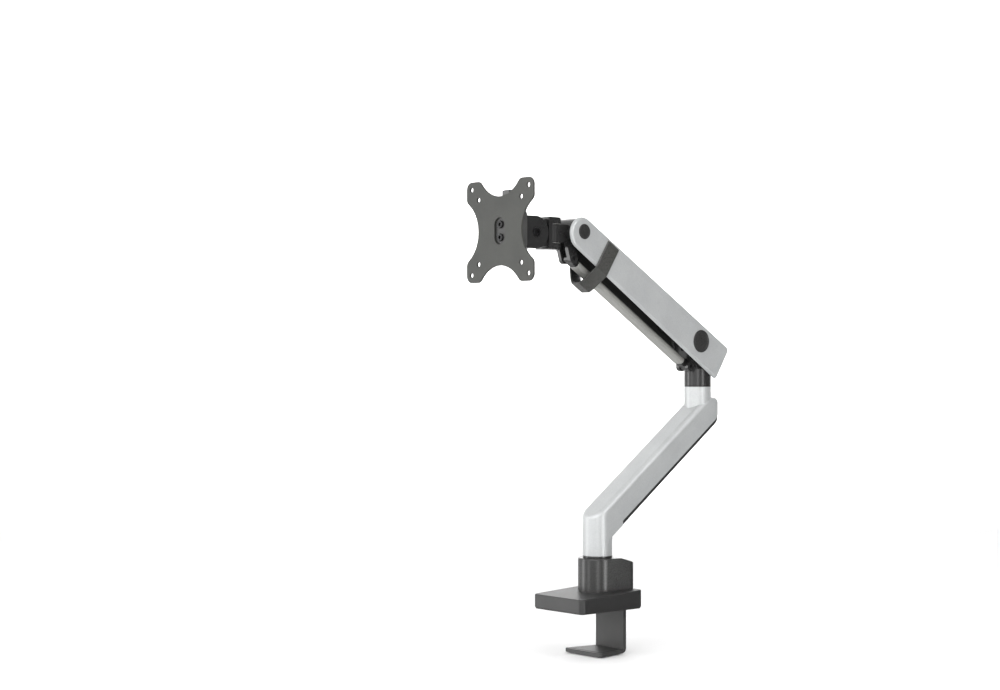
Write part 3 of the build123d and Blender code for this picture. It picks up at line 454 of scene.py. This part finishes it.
def close_tree(tree, given, shape):
    """Sets the shape on every point, turned, smooth except at corners, and in its material."""
    turn = add(tree, "GeometryNodeInputNamedAttribute", {"Name": "turn"}, data_type="FLOAT_VECTOR")
    placed = add(
        tree,
        "GeometryNodeInstanceOnPoints",
        {"Points": given["Geometry"], "Instance": shape, "Rotation": turn.outputs["Attribute"]},
    )
    real = add(tree, "GeometryNodeRealizeInstances", {"Geometry": placed.outputs[0]})
    smooth = add(tree, "GeometryNodeSetShadeSmooth", {"Geometry": real.outputs[0]})
    bend = add(tree, "GeometryNodeInputMeshEdgeAngle")
    corner = add(
        tree,
        "FunctionNodeCompare",
        {"A": bend.outputs["Unsigned Angle"], "B": sharp_angle},
        operation="GREATER_THAN",
    )
    edged = add(
        tree,
        "GeometryNodeSetShadeSmooth",
        {"Geometry": smooth.outputs[0], "Selection": corner.outputs[0], "Shade Smooth": False},
        domain="EDGE",
    )
    painted = add(
        tree,
        "GeometryNodeSetMaterial",
        {"Geometry": edged.outputs[0], "Material": given["Material"]},
    )
    add(tree, "NodeGroupOutput", {"Geometry": painted.outputs[0]})


def lifted(tree, shape, height):
    """Shape moved up by a height in a tree."""
    rise = add(tree, "ShaderNodeCombineXYZ", {"Z": height})
    return add(
        tree,
        "GeometryNodeTransform",
        {"Geometry": shape, "Translation": rise.outputs[0]},
    ).outputs[0]


# Shape of every screw, as shares of its sizes. The shank starts a little inside the head, and half
# of the key that cuts the socket stays above it.
wall_share = 0.6
crown_share = 1 - wall_share
crown_taper = 0.86
shank_drop = -0.499
key_share = 2
head_sides = 40
shank_sides = 32
socket_sides = 6
thread_steps = 24
thread_sides = 6
rib_sides = 16
screw_inputs = (
    "Head radius",
    "Head height",
    "Socket radius",
    "Socket depth",
    "Shank radius",
    "Shank length",
)


def screw_body(tree, given):
    """Screw with a low head, a chamfer round its top, a hexagon socket and a plain shank."""
    products = {
        "wall": ("Head height", wall_share),
        "wall middle": ("Head height", wall_share / 2),
        "crown": ("Head height", crown_share),
        "crown radius": ("Head radius", crown_taper),
        "shank middle": ("Shank length", shank_drop),
        "key": ("Socket depth", key_share),
    }
    scaled = {}
    for name, (size, share) in products.items():
        product = add(tree, "ShaderNodeMath", {0: given[size], 1: share}, operation="MULTIPLY")
        scaled[name] = product.outputs[0]
    skirt = add(
        tree,
        "GeometryNodeMeshCylinder",
        {"Vertices": head_sides, "Radius": given["Head radius"], "Depth": scaled["wall"]},
    )
    bevel = add(
        tree,
        "GeometryNodeMeshCone",
        {
            "Vertices": head_sides,
            "Radius Top": scaled["crown radius"],
            "Radius Bottom": given["Head radius"],
            "Depth": scaled["crown"],
        },
    )
    shank = add(
        tree,
        "GeometryNodeMeshCylinder",
        {
            "Vertices": shank_sides,
            "Radius": given["Shank radius"],
            "Depth": given["Shank length"],
        },
    )
    key = add(
        tree,
        "GeometryNodeMeshCylinder",
        {"Vertices": socket_sides, "Radius": given["Socket radius"], "Depth": scaled["key"]},
    )
    body = add(tree, "GeometryNodeMeshBoolean", operation="UNION")
    for part in (
        lifted(tree, skirt.outputs["Mesh"], scaled["wall middle"]),
        lifted(tree, bevel.outputs["Mesh"], scaled["wall"]),
        lifted(tree, shank.outputs["Mesh"], scaled["shank middle"]),
    ):
        tree.links.new(part, body.inputs["Mesh 2"])
    cut = add(
        tree,
        "GeometryNodeMeshBoolean",
        {
            "Mesh 1": body.outputs[0],
            "Mesh 2": lifted(tree, key.outputs["Mesh"], given["Head height"]),
        },
        operation="DIFFERENCE",
    )
    return cut.outputs[0]


def socket_screw_tree():
    """Screw with a plain shank."""
    tree, given = open_tree("socket_screw", screw_inputs)
    close_tree(tree, given, screw_body(tree, given))
    return tree


def threaded_screw_tree():
    """Screw with a ridge that winds down its shank."""
    tree, given = open_tree("threaded_screw", (*screw_inputs, "Thread depth", "Thread turns"))
    helix = add(
        tree,
        "GeometryNodeCurveSpiral",
        {
            "Resolution": thread_steps,
            "Rotations": given["Thread turns"],
            "Start Radius": given["Shank radius"],
            "End Radius": given["Shank radius"],
            "Height": given["Shank length"],
        },
    )
    ridge = add(
        tree,
        "GeometryNodeCurvePrimitiveCircle",
        {"Resolution": thread_sides, "Radius": given["Thread depth"]},
    )
    thread = add(
        tree,
        "GeometryNodeCurveToMesh",
        {"Curve": helix.outputs[0], "Profile Curve": ridge.outputs[0], "Fill Caps": True},
    )
    whole = add(tree, "GeometryNodeJoinGeometry")
    tree.links.new(screw_body(tree, given), whole.inputs[0])
    drop = add(tree, "ShaderNodeMath", {0: given["Shank length"], 1: -1}, operation="MULTIPLY")
    tree.links.new(lifted(tree, thread.outputs[0], drop.outputs[0]), whole.inputs[0])
    close_tree(tree, given, whole.outputs[0])
    return tree


def rib_tree():
    """Short rounded rib along X."""
    tree, given = open_tree("grip_rib", ("Rib radius", "Rib length"))
    bar = add(
        tree,
        "GeometryNodeMeshCylinder",
        {"Vertices": rib_sides, "Radius": given["Rib radius"], "Depth": given["Rib length"]},
    )
    lying = add(
        tree,
        "GeometryNodeTransform",
        {"Geometry": bar.outputs["Mesh"], "Rotation": (0, quarter, 0)},
    )
    close_tree(tree, given, lying.outputs[0])
    return tree


screws = socket_screw_tree()
threaded_screws = threaded_screw_tree()
ribs = rib_tree()


def screw_sizes(head_radius, head_height, socket_radius, socket_depth, shank_radius, shank_length):
    """Sizes of a screw, as the tree's inputs."""
    sizes = (head_radius, head_height, socket_radius, socket_depth, shank_radius, shank_length)
    return dict(zip(screw_inputs, sizes))


# Two screws that hold the screen plate, one above the other
low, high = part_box("plate_screws")
plate_head_radius = 4.5 * MM
plate_seat_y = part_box("vesa_plate")[1].y
plate_screws = grow(
    "plate_socket_screws",
    screws,
    [(0, plate_seat_y, z) for z in (low.z + plate_head_radius, high.z - plate_head_radius)],
    [(quarter, 0, 0)] * 2,
    screw_sizes(
        head_radius=plate_head_radius,
        head_height=2.2 * MM,
        socket_radius=2.3 * MM,
        socket_depth=1.5 * MM,
        shank_radius=2.5 * MM,
        shank_length=6.8 * MM,
    ),
    black_oxide,
)
settle(plate_screws, "screen", "steel", "plate_screws")

# Tilt bolt: a head on each cheek of the tilt bracket
low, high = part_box("tilt_bolt")
tilt_centre = (low + high) / 2
cheek_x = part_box("tilt_bracket")[1].x
tilt_bolt = grow(
    "tilt_pivot_bolt",
    screws,
    [(x, tilt_centre.y, tilt_centre.z) for x in (cheek_x, -cheek_x)],
    [(0, quarter, 0), (0, -quarter, 0)],
    screw_sizes(
        head_radius=5.6 * MM,
        head_height=1.6 * MM,
        socket_radius=2.9 * MM,
        socket_depth=1.3 * MM,
        shank_radius=4.0 * MM,
        shank_length=12.0 * MM,
    ),
    black_oxide,
)
settle(tilt_bolt, "tilt", "steel", "tilt_bolt")

# Swivel bolt: a head above and a head below the fork
low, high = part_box("swivel_bolt")
swivel_y = (low.y + high.y) / 2
swivel_head = 3.0 * MM
swivel_bolt = grow(
    "swivel_pivot_bolt",
    screws,
    [(0, swivel_y, z) for z in (high.z - swivel_head, low.z + swivel_head)],
    [(0, 0, 0), (math.pi, 0, 0)],
    screw_sizes(
        head_radius=6.2 * MM,
        head_height=swivel_head,
        socket_radius=2.9 * MM,
        socket_depth=2.0 * MM,
        shank_radius=4.0 * MM,
        shank_length=16.0 * MM,
    ),
    black_oxide,
)
settle(swivel_bolt, "fork", "steel", "swivel_bolt")

# Ribs for the thumb on the release latch
latch_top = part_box("release_latch")[1]
latch_rib_spacing = 2.0 * MM
latch_rib_count = 4
latch_ribs = grow(
    "latch_grip_ribs",
    ribs,
    [(0, latch_top.y - (i + 1) * latch_rib_spacing, latch_top.z) for i in range(latch_rib_count)],
    [(0, 0, 0)] * latch_rib_count,
    {"Rib radius": 0.45 * MM, "Rib length": 11 * MM},
    black_moulding,
)
settle(latch_ribs, "latch", "black_plastic")

# Clamp screw, with its thread
low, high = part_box("clamp_screw")
clamp_centre = (low + high) / 2
clamp_head = 4.5 * MM
clamp_shank = high.z - clamp_head - low.z
clamp_thread_pitch = 1.5 * MM
clamp_screw = grow(
    "clamp_threaded_screw",
    threaded_screws,
    [(clamp_centre.x, clamp_centre.y, high.z - clamp_head)],
    [(0, 0, 0)],
    {
        **screw_sizes(
            head_radius=4.5 * MM,
            head_height=clamp_head,
            socket_radius=2.9 * MM,
            socket_depth=2.5 * MM,
            shank_radius=2.55 * MM,
            shank_length=clamp_shank,
        ),
        "Thread depth": 0.45 * MM,
        "Thread turns": clamp_shank / clamp_thread_pitch,
    },
    turned_steel,
)
settle(clamp_screw, "screw", "steel", "clamp_screw")

# Ribs for the thumb near the lower end of the sloping cover
cover = nodes["cable_cover"].data
under = max((face for face in cover.polygons if face.normal.z < 0), key=lambda face: face.area)
down = under.normal.copy()
uphill = Vector((0, -down.z, down.y))
same_plane = 0.1 * MM
low_end = min(
    corner.co.dot(uphill)
    for corner in cover.vertices
    if abs((corner.co - under.center).dot(down)) < same_plane
)
rib_line = under.center - uphill * under.center.dot(uphill)
cover_rib_count = 6
cover_rib_start = 12 * MM
cover_rib_spacing = 2.6 * MM
cover_rib_places = [
    low_end + cover_rib_start + i * cover_rib_spacing for i in range(cover_rib_count)
]
cover_ribs = grow(
    "cover_grip_ribs",
    ribs,
    [(0, *(rib_line + uphill * place).yz) for place in cover_rib_places],
    [(0, 0, 0)] * cover_rib_count,
    {"Rib radius": 0.6 * MM, "Rib length": 16 * MM},
    black_moulding,
)
settle(cover_ribs, "lower_arm", "black_plastic")

# Pivot caps: turned discs with a rounded rim and a shallow dish
cap_rim = 0.6 * MM
cap_dish = 0.5 * MM
cap_rim_steps = 4
cap_steps = 72
# Across the face from the rim: share of the radius, and share of the dish's depth there
cap_face = [(0.86, 0), (0.83, 0.5), (0.78, 1), (0.3, 0.55), (0, 0.5)]


def cap(name, side, body):
    """Dished cap in the place of a CAD cap, its face towards +X or -X."""
    low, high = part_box(name)
    centre = (low + high) / 2
    radius = (high.y - low.y) / 2
    depth = high.x - low.x
    foot_x = low.x if side > 0 else high.x
    profile = [(0, 0), (0, radius)]
    for step in range(cap_rim_steps + 1):
        angle = quarter * step / cap_rim_steps
        out = depth - cap_rim + cap_rim * math.sin(angle)
        profile.append((out, radius - cap_rim + cap_rim * math.cos(angle)))
    profile += [(depth - sunk * cap_dish, share * radius) for share, sunk in cap_face]
    turned = bmesh.new()
    start = [turned.verts.new((foot_x + side * x, centre.y, centre.z + r)) for x, r in profile]
    edges = [turned.edges.new(pair) for pair in zip(start, start[1:])]
    bmesh.ops.spin(
        turned,
        geom=start + edges,
        cent=(0, centre.y, centre.z),
        axis=(1, 0, 0),
        angle=2 * math.pi,
        steps=cap_steps,
        use_merge=True,
    )
    bmesh.ops.remove_doubles(turned, verts=turned.verts, dist=weld_distance)
    bmesh.ops.recalc_face_normals(turned, faces=turned.faces)
    for face in turned.faces:
        face.smooth = True
    mesh = bpy.data.meshes.new(name + "_dished")
    turned.to_mesh(mesh)
    turned.free()
    mesh.set_sharp_from_angle(angle=sharp_angle)
    mesh.materials.append(black_moulding)
    piece = bpy.data.objects.new(name + "_dished", mesh)
    scene.collection.objects.link(piece)
    settle(piece, body, "black_plastic", name)


for pivot in ("elbow", "head"):
    cap(pivot + "_cap_right", 1, "upper_arm")
    cap(pivot + "_cap_left", -1, "upper_arm")

# Floor and backdrop
floor_z = -56 * MM
floor_reach = 2.3
backdrop_reach = 6.0
sweep_start = 3.0
sweep_radius = 1.5
sweep_steps = 16
camera_turn = math.radians(49.29)
away = Vector((-math.sin(camera_turn), math.cos(camera_turn), 0))
across = Vector((math.cos(camera_turn), math.sin(camera_turn), 0))
paper = bpy.data.materials.new("pale_paper")
paper.use_nodes = True
paper_shader = paper.node_tree.nodes["Principled BSDF"]
paper_shader.inputs["Base Color"].default_value = to_linear("fcfcfc")
paper_shader.inputs["Roughness"].default_value = 0.9


def sheet(name, profile, reach):
    """Paper that reaches to both sides, along a profile of places behind the arm and heights."""
    mesh = bpy.data.meshes.new(name)
    shape = bmesh.new()
    rows = []
    for behind, rise in profile:
        centre = away * behind + Vector((0, 0, floor_z + rise))
        rows.append([shape.verts.new(centre + across * side) for side in (-reach, reach)])
    for near, far in zip(rows, rows[1:]):
        face = shape.faces.new((near[0], near[1], far[1], far[0]))
        face.smooth = True
    shape.to_mesh(mesh)
    shape.free()
    mesh.materials.append(paper)
    piece = bpy.data.objects.new(name, mesh)
    scene.collection.objects.link(piece)
    return piece


floor = sheet("floor", [(-floor_reach, 0), (sweep_start, 0)], floor_reach)
# The strips of light go on below the floor in what the arm mirrors, as in a cut-out picture
floor.visible_glossy = False
sweep = []
for step in range(sweep_steps + 1):
    angle = quarter * step / sweep_steps
    rise = sweep_radius * (1 - math.cos(angle))
    sweep.append((sweep_start + sweep_radius * math.sin(angle), rise))
sheet("backdrop", [*sweep, (sweep_start + sweep_radius, backdrop_reach)], backdrop_reach)

# Light
arm_middle = Vector((0, 0.02, 0.22))
backdrop_light_height = 1.4
backdrop_middle = away * (sweep_start + sweep_radius) + Vector((0, 0, backdrop_light_height))


def softbox(name, place, size, power, aim=arm_middle):
    """Soft light of a width and height, aimed at the middle of the arm or at a given place."""
    lamp = bpy.data.lights.new(name, "AREA")
    lamp.shape = "RECTANGLE"
    lamp.size, lamp.size_y = size
    lamp.energy = power
    holder = bpy.data.objects.new(name, lamp)
    holder.location = place
    holder.rotation_euler = (aim - Vector(place)).to_track_quat("-Z", "Y").to_euler()
    scene.collection.objects.link(holder)


softbox("key_light", place=(0.85, -2.35, 1.3), size=(1.8, 1.4), power=34)
softbox("camera_light", place=(2.05, -1.76, 0.1), size=(0.8, 1.6), power=9)
softbox("left_strip", place=(-1.5, -1.45, 0.2), size=(0.6, 1.8), power=13)
softbox("front_strip", place=(-0.25, -2.0, 0.2), size=(0.3, 1.8), power=4)
softbox("right_strip", place=(2.0, 0.12, -0.22), size=(0.5, 1.0), power=11)
softbox("side_light", place=(1.7, 0.1, 1.25), size=(0.9, 0.7), power=13)
softbox("top_light", place=(0.1, 0.3, 2.4), size=(1.6, 1.6), power=7)
softbox(
    "backdrop_light",
    place=(-1.9, 1.7, 2.2),
    size=(4.0, 2.5),
    power=130,
    aim=backdrop_middle,
)

# Room round the studio: pale to look at, but the arm mirrors a dark side on the right of the view
left_glow = 1.05
right_glow = 0.15
world = bpy.data.worlds.new("studio")
world.use_nodes = True
room = world.node_tree
background = room.nodes["Background"]
background.inputs["Color"].default_value = (1, 1, 1, 1)
direction = add(room, "ShaderNodeTexCoord").outputs["Generated"]
side = add(room, "ShaderNodeVectorMath", {0: direction, 1: across}, operation="DOT_PRODUCT")
glow = add(
    room,
    "ShaderNodeMapRange",
    {
        "Value": side.outputs["Value"],
        "From Min": -1.0,
        "To Min": left_glow,
        "To Max": right_glow,
    },
)
seen = add(room, "ShaderNodeLightPath").outputs["Is Camera Ray"]
pale = add(room, "ShaderNodeMath", {0: glow.outputs[0], 1: seen}, operation="MAXIMUM")
room.links.new(pale.outputs[0], background.inputs["Strength"])
scene.world = world
scene.view_settings.view_transform = "Standard"

# Camera: level, as in the photo
camera_data = bpy.data.cameras.new("camera")
camera_data.lens = 69.25
camera_data.sensor_width = 36
camera_data.shift_y = 0.0085
camera_data.clip_end = 50
camera = bpy.data.objects.new("camera", camera_data)
camera.location = (1.6789, -1.5995, 0.3053)
camera.rotation_euler = (quarter, 0, camera_turn)
scene.collection.objects.link(camera)
scene.camera = camera
